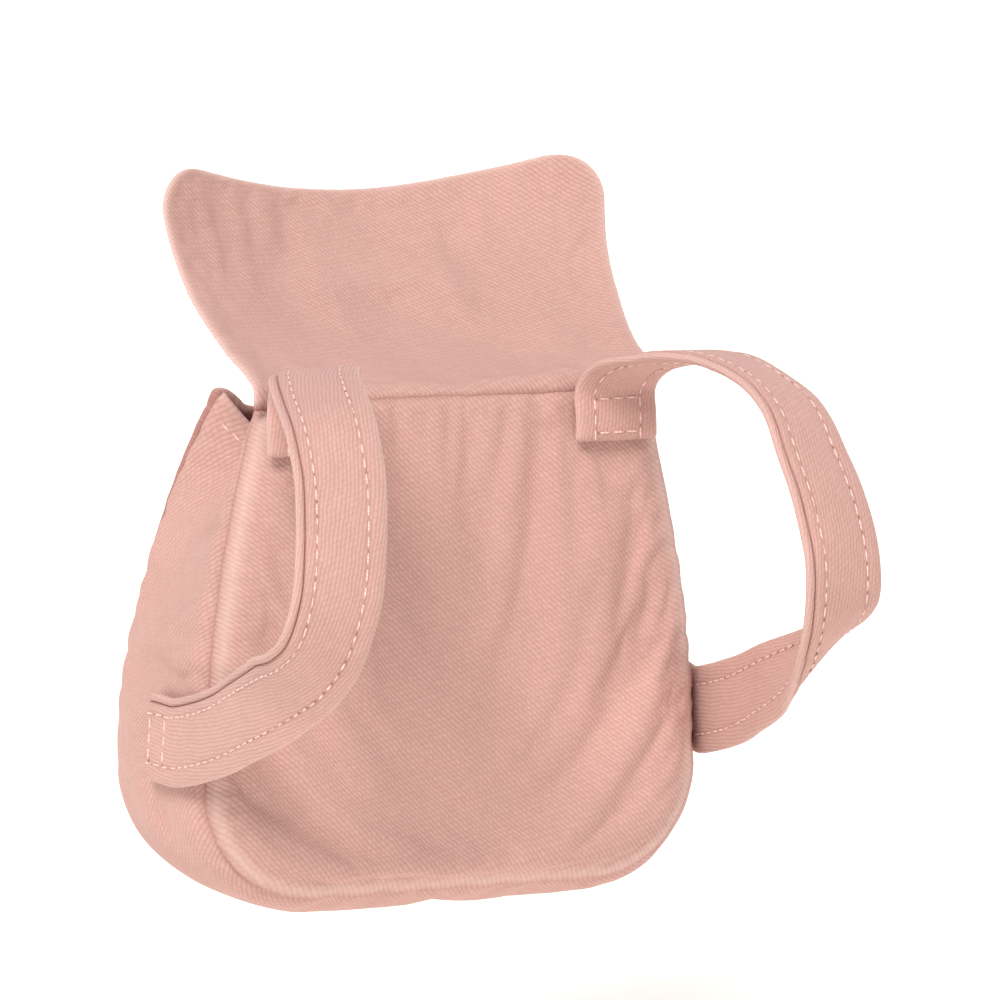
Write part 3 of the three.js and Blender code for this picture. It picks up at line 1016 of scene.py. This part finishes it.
edge_press = 0.2  # the share by which the pressed edge of a turned piece is thinner


def rounded_half(half, corner, from_end):
    """Half the width of a strip with round corners, at a distance from its round end."""
    into = max(corner - from_end, 0)
    return half - corner + math.sqrt(max(corner**2 - into**2, 0))


def flap_half(along):
    return flap_width / 2 + flap_flare * column_at(flap_rows, "along", "flare", along)


def flap_point(a, b):
    along = 1 - (1 - b) ** 1.3  # finer towards the round corners
    half = rounded_half(flap_half(along), flap_corner, (1 - along) * flap_length)
    return (2 * crowd_ends(a) - 1) * half, along


def flap_surface(x, along):
    edge = abs(x / flap_half(along)) ** 1.7
    back = mix(
        column_at(flap_rows, "along", "mid_back", along),
        column_at(flap_rows, "along", "side_back", along), edge,
    )
    up = mix(
        column_at(flap_rows, "along", "mid_up", along),
        column_at(flap_rows, "along", "side_up", along), edge,
    )
    sewn_in = root_overlap * max(1 - along / 0.05, 0)
    return Vector((x, cloth / 2 + flap_reach * back, seam_gap + flap_rise * up - sewn_in))


def flap_edge_distance(x, along):
    """About how far a point of the flap is from its edge."""
    half = rounded_half(flap_half(along), flap_corner, (1 - along) * flap_length)
    return min(half - abs(x), (1 - along) * flap_length)


def flap_lift(a, b):
    x, along = flap_point(a, b)
    up = along * flap_length
    root = 1 - line_at(up, 4)
    loose = slack(x, up, 60.0, 0.5) + fold_height(flap_folds, x, up)
    return root * loose + seam_folds(up, x + 200)


def flap_tones(a, b):
    x, along = flap_point(a, b)
    # The second value is painted shade along the flap's root.
    return line_at(flap_edge_distance(x, along), 0.5), line_at(along * flap_length, 0.4)


def flap_wall(a, b):
    """The edge is a fold, so it is rounded off, and it was pressed thinner than the middle."""
    edge = flap_edge_distance(*flap_point(a, b))
    return cloth * (1 - 0.55 * line_at(edge, 0.3)) * (1 - edge_press * line_at(edge, 2.5))


def flap_held(a, b):
    """Held at the root and under the sewn patch, and half stiff along its turned edge."""
    x, along = flap_point(a, b)
    from_end = (1 - along) * flap_length
    off_patch = outside_box(x, from_end - loop_inset, patch_width, patch_height)
    edge = 0.5 * line_at(flap_edge_distance(x, along), 2)
    return max(held_at_seam(along * flap_length), held_at_seam(off_patch), edge)


flap, flap_area, flap_tree = cloth_panel(
    "flap_cloth", (66, 52), lambda a, b: flap_surface(*flap_point(a, b)), flap_lift,
    lambda a, b: (flap_point(a, b)[0], flap_point(a, b)[1] * flap_length),
    turn=False, node="flap", tones=flap_tones, wall_at=flap_wall, held=flap_held, spare=0.02,
)

# %% [markdown]
# ## The straps' route
# A strap is sewn flat down the back panel, goes over the shoulder, down the chest, turns under
# the arm and ends flat on the gusset. The route is a short table of chosen points, and the
# edge columns say which way the strap's width points, because a strap twists as it turns.

# %% Strap route
strap_rows = table(
    "out forward rise drop sideways backward upward",
    (0.06, 0.1, 0.6, 0.0, 1.0, 0.02, -0.02),
    (0.26, 0.28, 1.0, 0.0, 1.0, 0.08, -0.05),
    (0.52, 0.46, 1.05, 0.0, 1.0, 0.25, -0.1),
    (0.68, 0.63, 0.7, 0.0, 1.0, 0.4, -0.15),
    (0.78, 0.79, 0.0, 0.0, 1.0, 0.36, -0.1),
    (0.84, 0.9, 0.0, 0.13, 1.0, 0.26, -0.04),
    (0.92, 0.97, 0.0, 0.27, 1.0, 0.2, 0.0),
    (1.0, 1.0, 0.0, 0.43, 1.0, 0.18, 0.06),
    (1.06, 0.95, 0.0, 0.57, 0.97, 0.12, 0.22),
    (1.1, 0.82, 0.0, 0.68, 0.8, 0.1, 0.55),
    (1.13, 0.61, 0.0, 0.77, 0.45, 0.15, 0.88),
    (1.14, 0.36, 0.0, 0.86, 0.15, 0.2, 0.97),
    (1.15, 0.12, 0.0, 0.94, 0.03, 0.12, 1.0),
)


def strap_points():
    """Centre points and edge directions from the root to the lower end."""
    root_half = root_spacing / 2
    spread = (chest_spacing - root_spacing) / 2
    stand = cloth / 2 + seam_gap + strap_thickness / 2
    centres = [Vector((root_half, cloth / 2 - stand, z)) for z in (-root_lap, -root_lap / 2, 0)]
    edges = [Vector((1, 0, 0)) for _ in centres]
    for row in strap_rows:
        x = root_half + spread * row["out"]
        z = strap_rise * row["rise"] - strap_drop * row["drop"]
        centres.append(Vector((x, -strap_reach * row["forward"], z)))
        edges.append(Vector((row["sideways"], row["backward"], row["upward"])))
    distance = next(mark for mark, p in zip(seam_marks, seam_line) if p.y <= -strap_drop)
    place, outward = seam_at(distance)
    width = front_seam(place.y) - back_seam
    out = Vector((outward.x, 0, outward.y))
    for past in (roll_width, roll_width + side_lap / 2, roll_width + side_lap):
        centres.append(gusset_surface(distance, past / width) + out * stand)
        edges.append(Vector((-outward.y, 0, outward.x)))
    return centres, edges


def spline_at(points, share, even):
    """A point on a smooth curve through the points. Even spaces the bend by their distances."""
    spot = min(max(share, 0), 0.999999) * (len(points) - 1)
    low = int(spot)
    t = spot - low
    p1, p2 = points[low], points[low + 1]
    p0 = points[low - 1] if low else p1 * 2 - p2
    p3 = points[low + 2] if low + 2 < len(points) else p2 * 2 - p1
    if even:
        d0, d1, d2 = [math.sqrt((q - p).length) for p, q in ((p0, p1), (p1, p2), (p2, p3))]
        leave = ((p1 - p0) / d0 - (p2 - p0) / (d0 + d1) + (p2 - p1) / d1) * d1
        reach = ((p2 - p1) / d1 - (p3 - p1) / (d1 + d2) + (p3 - p2) / d2) * d1
    else:
        leave, reach = (p2 - p0) / 2, (p3 - p1) / 2
    return (
        p1 + leave * t
        + (p2 * 3 - p1 * 3 - leave * 2 - reach) * t**2
        + (p1 * 2 - p2 * 2 + leave + reach) * t**3
    )


route_samples = 900
route_centres, route_edges = strap_points()
route_shares = [i / route_samples for i in range(route_samples + 1)]
fine_route = [
    (spline_at(route_centres, share, True), spline_at(route_edges, share, False))
    for share in route_shares
]
route_marks = [0.0]
for (here, _), (there, _) in zip(fine_route, fine_route[1:]):
    route_marks.append(route_marks[-1] + (there - here).length)
strap_length = route_marks[-1]
print("strap", round(strap_length, 1), "mm long")


def strap_frame(distance):
    """Centre, way forward, outer edge direction and outward face direction at a distance."""
    i = min(max(bisect.bisect(route_marks, distance) - 1, 1), route_samples - 2)
    here, edge = fine_route[i]
    forward = (fine_route[i + 1][0] - fine_route[i - 1][0]).normalized()
    share = (distance - route_marks[i]) / (route_marks[i + 1] - route_marks[i])
    centre = here.lerp(fine_route[i + 1][0], share)
    edge = (edge - forward * edge.dot(forward)).normalized()
    return centre, forward, edge, forward.cross(edge)


# %% [markdown]
# ## Straps
# Each strap is one strip of twill folded double. At the open edge the upper layer stops about
# a millimetre short, and the slit between the layers shows as a dark line: a narrow notch in the
# mesh with painted shade in it. Both straps were sewn alike, so that edge is the outer one on the
# wearer's right and the inner one on the left.
# Two rows of topstitching pull the layers together, so the cloth between them is slightly
# puffed. The mesh is one grid wrapped round that section and joined at the slit.

# %% Strap section
stitch_inset = 2.6
wished_pitch = 2.0
stitch_count = round(strap_length / wished_pitch)
stitch_pitch = strap_length / stitch_count
row_height = 0.76  # of the thread in a row, from the middle of the strap
bar_height = 0.95
half_strap = strap_width / 2
row_offset = half_strap - stitch_inset
strap_section = table(
    "across height",
    (4.74, 0.0), (4.66, 0.56), (4.35, 0.82), (3.75, 0.83), (3.3, 0.7), (2.9, 0.84), (2.0, 0.94),
    (0.7, 0.98), (-0.7, 0.98), (-2.0, 0.94), (-2.9, 0.84), (-3.3, 0.7), (-3.75, 0.83),
    (-4.6, 0.84), (-5.4, 0.66), (-5.82, 0.32), (-5.9, 0.0), (-5.82, -0.32), (-5.4, -0.66),
    (-4.6, -0.82), (-3.75, -0.82), (-3.3, -0.68), (-2.9, -0.82), (-2.0, -0.9), (-0.7, -0.94),
    (0.7, -0.94), (2.0, -0.9), (2.9, -0.82), (3.3, -0.68), (3.75, -0.8), (4.6, -0.8),
    (5.4, -0.62), (5.85, -0.3), (5.95, 0.05), (5.8, 0.38), (5.4, 0.52), (4.95, 0.5),
    (4.8, 0.32), (4.74, 0.0),
)
section_marks = [0.0]
for here, there in zip(strap_section, strap_section[1:]):
    gap = math.hypot(there["across"] - here["across"], there["height"] - here["height"])
    section_marks.append(section_marks[-1] + gap)
strap_steps = 4 * stitch_count  # so the cloth can sink at each needle hole


def strap_bulge(distance, across):
    """Broad shallow waves of the whole strap."""
    return 0.25 * noise.noise(Vector((distance / 9, across / 6, 4.2)))


def strap_point(around, distance, side):
    """A point of the strap's surface, for a column of the section and a distance along."""
    row = strap_section[around]
    centre, forward, edge, face = strap_frame(distance)
    end = min(distance, strap_length - distance)
    squeeze = math.sqrt(min(1, (end + 0.15) / 1.2))
    dimple = 0
    if abs(abs(row["across"]) - row_offset) < 0.2:
        dimple = -0.14 * math.cos(2 * math.pi * distance / stitch_pitch)
    off_row = abs(abs(row["across"]) - row_offset)
    gather = noise.noise(Vector((distance / 1.7, row["across"] / 5, 9.4)))
    across = -side * row["across"] + 0.15 * noise.noise(Vector((distance / 7, 1.3, 0)))
    layers = (row["height"] + math.copysign(dimple, row["height"])) * squeeze
    return centre + edge * across + face * (
        layers + strap_bulge(distance, across) + 0.16 * gather * line_at(off_row, 1.6)
    )


def make_strap(name, side):
    """Wraps a grid round the section and along the route; side mirrors it."""
    columns = len(strap_section) - 1
    bm = bmesh.new()
    uv = bm.loops.layers.uv.new("cloth")
    worn = bm.verts.layers.float.new("worn")
    # The second layer holds painted shade for the slit and the stitch rows.
    painted_shade = bm.verts.layers.float.new("painted_shade")
    bmesh.ops.create_grid(bm, x_segments=columns, y_segments=strap_steps, size=0.5)
    spots = {
        v: (round((v.co.x + 0.5) * columns), (v.co.y + 0.5) * strap_length) for v in bm.verts
    }
    for face in bm.faces:
        for loop in face.loops:
            around, distance = spots[loop.vert]
            loop[uv].uv = (section_marks[around] * mm, distance * mm)
    for v, (around, distance) in spots.items():
        v.co = strap_point(around, distance, side)
        across = abs(strap_section[around]["across"])
        v[worn] = 0.5 * line_at(half_strap - across, 0.4)
        # Painted shade: full in the slit between the layers, and faint along the rows of
        # stitches.
        v[painted_shade] = 1.0 if around in (0, columns) else 0.3 * line_at(abs(across - row_offset), 0.2)
    bmesh.ops.remove_doubles(bm, verts=bm.verts, dist=0.01)
    bmesh.ops.holes_fill(bm, edges=[e for e in bm.edges if e.is_boundary], sides=0)
    if side < 0:
        bmesh.ops.scale(bm, vec=(-1, 1, 1), verts=bm.verts)
    bmesh.ops.recalc_face_normals(bm, faces=bm.faces)
    piece = new_piece(bm, name + "_cloth", strap_twill, name)
    finer = piece.modifiers.new("soft section", "SUBSURF")
    finer.levels = finer.render_levels = 1
    return piece


strap_left = make_strap("strap_left", 1)
strap_right = make_strap("strap_right", -1)

# %% [markdown]
# ## Stitches
# A stitch shows as a short rounded dash of thread that dives into the cloth at both ends. Each
# one is a small stretched ball of few faces, laid along its seam, half sunk in the cloth. The
# needle's hole between two dashes is a small dark dot.

# %% Stitches
thread_width = 0.3
dash_length = 1.55
hole_width = 0.36
hole_depth = 0.16
hole_sink = 0.05  # a hole lies this much lower than the thread


def lay_ball(bm, at, forward, face, sizes):
    """A stretched ball at a place: its width, its height off the face and its length."""
    side = face.cross(forward).normalized()
    turn = Matrix((side, face, forward)).transposed().to_4x4()
    size = Matrix.Diagonal([value / 2 for value in sizes] + [1])
    bmesh.ops.create_uvsphere(
        bm, u_segments=6, v_segments=6, radius=1, matrix=Matrix.Translation(at) @ turn @ size,
    )


def lay_stitch(bm, holes, at, forward, face):
    """One dash of thread on a face, and the needle hole that it comes out of."""
    lay_ball(bm, at, forward, face, (thread_width, thread_width, dash_length))
    hole = at - forward * (stitch_pitch / 2) - face * hole_sink
    lay_ball(holes, hole, forward, face, (hole_width, hole_depth, hole_width))


def strap_stitches(side_name, side):
    """Two rows of topstitching on both faces of a strap, and the bars that hold its ends."""
    bm = bmesh.new()
    holes = bmesh.new()
    for i in range(stitch_count):
        distance = (i + 0.5) * stitch_pitch
        centre, forward, edge, face = strap_frame(distance)
        for across in (-row_offset, row_offset):
            for way in (1, -1):
                height = way * row_height + strap_bulge(distance, across)
                place = centre + edge * across + face * height
                lay_stitch(bm, holes, place, forward, face * way)
    bar = int(2 * row_offset / stitch_pitch)
    upper_bars = [(1.3, -1), (root_lap - 1.2, -1)]
    lower_bars = [(strap_length - 1.3, 1), (strap_length - side_lap + 1.2, 1)]
    for distance, way in upper_bars + lower_bars:
        centre, forward, edge, face = strap_frame(distance)
        for i in range(bar):
            across = (i + 0.5) * stitch_pitch - bar * stitch_pitch / 2
            height = way * bar_height + strap_bulge(distance, across)
            place = centre + edge * across + face * height
            lay_stitch(bm, holes, place, edge, face * way)
    if side < 0:
        for balls in (bm, holes):
            bmesh.ops.scale(balls, vec=(-1, 1, 1), verts=balls.verts)
            bmesh.ops.recalc_face_normals(balls, faces=balls.faces)
    return [
        new_piece(bm, side_name + "_stitches", thread, None),
        new_piece(holes, side_name + "_needle_holes", hole_shade, None),
    ]


left_stitches = strap_stitches("strap_left", 1)
right_stitches = strap_stitches("strap_right", -1)

# %% [markdown]
# ## Touch fastening
# Two small patches of touch tape close the flap: hooks on the front panel, pile on the flap's
# inner face. Each is a rounded rectangle of tape that follows the cloth it is sewn on.

# %% Touch fastening
patch_sink = 0.1


def patch_half(share):
    from_end = min(share, 1 - share) * patch_height
    return rounded_half(patch_width / 2, patch_corner, from_end)


def on_cloth(tree, point, stand):
    """The place on a settled panel that is nearest to a point, raised along its normal."""
    place, normal, index, distance = tree.find_nearest(point)
    return place + normal * stand


def patch_rise(thickness):
    return cloth / 2 + thickness / 2 - patch_sink


def hook_place(a, b):
    x = (2 * a - 1) * patch_half(b)
    point = front_surface(x, -hook_drop + (0.5 - b) * patch_height)
    return on_cloth(front_tree, point, patch_rise(patch_thickness))


def loop_place(a, b):
    along = 1 - (loop_inset + (0.5 - b) * patch_height) / flap_length
    point = flap_surface((2 * a - 1) * patch_half(b), along)
    return on_cloth(flap_tree, point, -patch_rise(patch_thickness))


def patch_flat(a, b):
    return (2 * a - 1) * patch_half(b), b * patch_height


def no_lift(a, b):
    return 0.0


def no_tones(a, b):
    return 0.0, 0.0


def patch_wall(a, b):
    """Thinner at the edge, where the stitches press it down."""
    edge = min(min(a, 1 - a) * patch_width, min(b, 1 - b) * patch_height)
    return patch_thickness * (1 - 0.6 * line_at(edge, 0.5))


hook_patch, hook_area, hook_tree = cloth_panel(
    "hook_patch_tape", (34, 18), hook_place, no_lift, patch_flat, turn=False,
    node="hook_patch", tones=no_tones, wall_at=patch_wall, material=hook_tape,
)
loop_patch, loop_area, loop_tree = cloth_panel(
    "loop_patch_tape", (34, 18), loop_place, no_lift, patch_flat, turn=False,
    node="loop_patch", tones=no_tones, wall_at=patch_wall, material=pile_tape,
)

# %% [markdown]
# ## Stitches of the hem and the patches
# The hem's stitches run round the mouth, and each patch has a row just inside its edge. They
# lie on the settled cloth, so each one is first placed on the pattern and then set down on it.

# %% Hem and patch stitches
patch_rim = 1.1  # from a patch's edge to its stitches
thread_sink = 0.05


def lay_row(bm, holes, points, tree, stand):
    """Lays stitches evenly along a line of points, set down on a settled panel."""
    marks = [0.0]
    for here, there in zip(points, points[1:]):
        marks.append(marks[-1] + (there - here).length)
    for i in range(int(marks[-1] / stitch_pitch)):
        distance = (i + 0.5) * stitch_pitch
        low = bisect.bisect(marks, distance) - 1
        share = (distance - marks[low]) / (marks[low + 1] - marks[low])
        forward = (points[low + 1] - points[low]).normalized()
        place, normal, index, gap = tree.find_nearest(points[low].lerp(points[low + 1], share))
        forward = (forward - normal * forward.dot(normal)).normalized()
        face = normal * math.copysign(1, stand)
        lay_stitch(bm, holes, place + normal * stand, forward, face)


def hem_line():
    steps = 60
    points = []
    for i in range(steps + 1):
        side = mix(-0.95, 0.95, i / steps)
        top = front_top(side)
        points.append(front_surface(top.x, top.y - hem_stitch))
    return points


def patch_line(place):
    """Just inside a patch's edge, all the way round."""
    steps = 20
    rim_across = patch_rim / patch_width
    rim_along = patch_rim / patch_height
    across = [mix(rim_across, 1 - rim_across, i / steps) for i in range(steps + 1)]
    upper = [place(a, rim_along) for a in across]
    lower = [place(a, 1 - rim_along) for a in reversed(across)]
    return upper + lower + upper[:1]


def side_hem_line(side):
    """The same on the gusset, across its folded end on one side."""
    steps = 30
    points = []
    for i in range(steps + 1):
        across = mix(0.12, 0.88, i / steps)
        distance = side_dip * bell(across) + hem_stitch
        points.append(gusset_surface(distance if side > 0 else seam_length - distance, across))
    return points


bm = bmesh.new()
holes = bmesh.new()
hem_stand = hem_thickness / 2 - thread_sink
for way in (1, -1):
    lay_row(bm, holes, hem_line(), front_tree, way * hem_stand)
    for side in (1, -1):
        lay_row(bm, holes, side_hem_line(side), gusset_tree, way * hem_stand)
new_piece(bm, "hem_stitches", thread, None)
bm = bmesh.new()
patch_stand = patch_thickness / 2 - thread_sink
lay_row(bm, holes, patch_line(hook_place), hook_tree, patch_stand)
lay_row(bm, holes, patch_line(loop_place), loop_tree, -patch_stand)
new_piece(bm, "patch_stitches", thread, None)
new_piece(holes, "hem_needle_holes", hole_shade, None)
print("hem and patch stitches laid")

# %% [markdown]
# ## Floor
# The floor is only a stage. It is far enough below that the bag clearly hangs from its wearer.

# %% Floor
floor_height = -97
floor_size = 60000
bm = bmesh.new()
bmesh.ops.create_grid(bm, x_segments=1, y_segments=1, size=floor_size / 2)
bmesh.ops.translate(bm, vec=(0, 0, floor_height), verts=bm.verts)
bmesh.ops.scale(bm, vec=(mm, mm, mm), verts=bm.verts)
floor_mesh = bpy.data.meshes.new("floor")
bm.to_mesh(floor_mesh)
bm.free()
floor_material, floor_tree, floor_shader = new_material("matt white paper")
floor_shader.inputs["Base Color"].default_value = linear("#f4f1ec")
floor_shader.inputs["Roughness"].default_value = 0.9
floor_shader.inputs["Emission Color"].default_value = linear("#fffdfa")
floor_shader.inputs["Emission Strength"].default_value = 0.32
floor_mesh.materials.append(floor_material)
floor = bpy.data.objects.new("floor", floor_mesh)
scene.collection.objects.link(floor)
